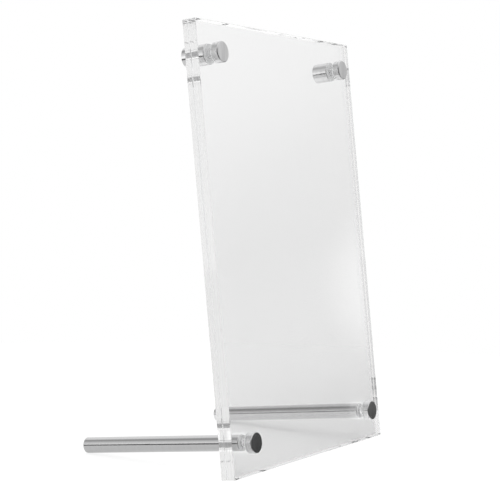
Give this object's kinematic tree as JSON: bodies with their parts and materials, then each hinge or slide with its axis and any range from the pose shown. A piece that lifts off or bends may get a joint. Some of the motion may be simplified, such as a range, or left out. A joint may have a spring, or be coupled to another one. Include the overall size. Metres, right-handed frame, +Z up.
{
  "type": "photo stand",
  "caption": "Tabletop photo stand: clear acrylic plates clamp a print between turned steel fixings, and long rear leg rods hold them leaning back.",
  "frame": {"origin": "on the table, below the centre of the whole stand's bounding box", "axes": "+Z up, the front faces -Y, +X to the right as seen from the front; the plates lean back towards +Y by 7.36 degrees"},
  "size_m": [0.148, 0.098, 0.2091],
  "materials": {
    "clear_acrylic": "clear cast acrylic, polished faces and edges",
    "clear_washer": "translucent soft plastic",
    "turned_steel": "fine turned and brushed stainless steel",
    "stud_steel": "plain rolled thread"
  },
  "bodies": {
    "rear_frame": {"back_plate": "clear_acrylic", "upper_left_stud": "stud_steel", "upper_right_stud": "stud_steel", "lower_left_stud": "stud_steel", "lower_right_stud": "stud_steel", "upper_left_back_washer": "clear_washer", "upper_right_back_washer": "clear_washer", "lower_left_back_washer": "clear_washer", "lower_right_back_washer": "clear_washer", "upper_left_barrel": "turned_steel", "upper_right_barrel": "turned_steel", "left_leg_rod": "turned_steel", "right_leg_rod": "turned_steel"},
    "front_panel": {"front_plate": "clear_acrylic"},
    "upper_left_washer_body": {"upper_left_front_washer": "clear_washer"},
    "upper_left_cap_body": {"upper_left_cap": "turned_steel"},
    "upper_right_washer_body": {"upper_right_front_washer": "clear_washer"},
    "upper_right_cap_body": {"upper_right_cap": "turned_steel"},
    "lower_left_washer_body": {"lower_left_front_washer": "clear_washer"},
    "lower_left_cap_body": {"lower_left_cap": "turned_steel"},
    "lower_right_washer_body": {"lower_right_front_washer": "clear_washer"},
    "lower_right_cap_body": {"lower_right_cap": "turned_steel"}
  },
  "joints": [
    {"name": "front_plate_slide", "type": "slide", "parent": "rear_frame", "child": "front_panel", "axis": [0, -0.9918, 0.1281], "range_m": [0, 0.025]},
    {"name": "upper_left_cap_travel", "type": "slide", "parent": "front_panel", "child": "upper_left_washer_body", "axis": [0, -0.9918, 0.1281], "range_m": [0, 0.0028]},
    {"name": "upper_left_cap_turn", "type": "hinge", "parent": "upper_left_washer_body", "child": "upper_left_cap_body", "pos_m": [-0.059, -0.02134, 0.19429], "axis": [0, -0.9918, 0.1281], "range_deg": [0, 1440]},
    {"name": "upper_right_cap_travel", "type": "slide", "parent": "front_panel", "child": "upper_right_washer_body", "axis": [0, -0.9918, 0.1281], "range_m": [0, 0.0028]},
    {"name": "upper_right_cap_turn", "type": "hinge", "parent": "upper_right_washer_body", "child": "upper_right_cap_body", "pos_m": [0.059, -0.02134, 0.19429], "axis": [0, -0.9918, 0.1281], "range_deg": [0, 1440]},
    {"name": "lower_left_cap_travel", "type": "slide", "parent": "front_panel", "child": "lower_left_washer_body", "axis": [0, -0.9918, 0.1281], "range_m": [0, 0.0028]},
    {"name": "lower_left_cap_turn", "type": "hinge", "parent": "lower_left_washer_body", "child": "lower_left_cap_body", "pos_m": [-0.059, -0.0444, 0.01577], "axis": [0, -0.9918, 0.1281], "range_deg": [0, 1440]},
    {"name": "lower_right_cap_travel", "type": "slide", "parent": "front_panel", "child": "lower_right_washer_body", "axis": [0, -0.9918, 0.1281], "range_m": [0, 0.0028]},
    {"name": "lower_right_cap_turn", "type": "hinge", "parent": "lower_right_washer_body", "child": "lower_right_cap_body", "pos_m": [0.059, -0.0444, 0.01577], "axis": [0, -0.9918, 0.1281], "range_deg": [0, 1440]}
  ],
  "couplings": [
    {"joint": "upper_left_cap_turn", "follows": "upper_left_cap_travel", "rad_per_m": 8976},
    {"joint": "upper_right_cap_turn", "follows": "upper_right_cap_travel", "rad_per_m": 8976},
    {"joint": "lower_left_cap_turn", "follows": "lower_left_cap_travel", "rad_per_m": 8976},
    {"joint": "lower_right_cap_turn", "follows": "lower_right_cap_travel", "rad_per_m": 8976}
  ]
}
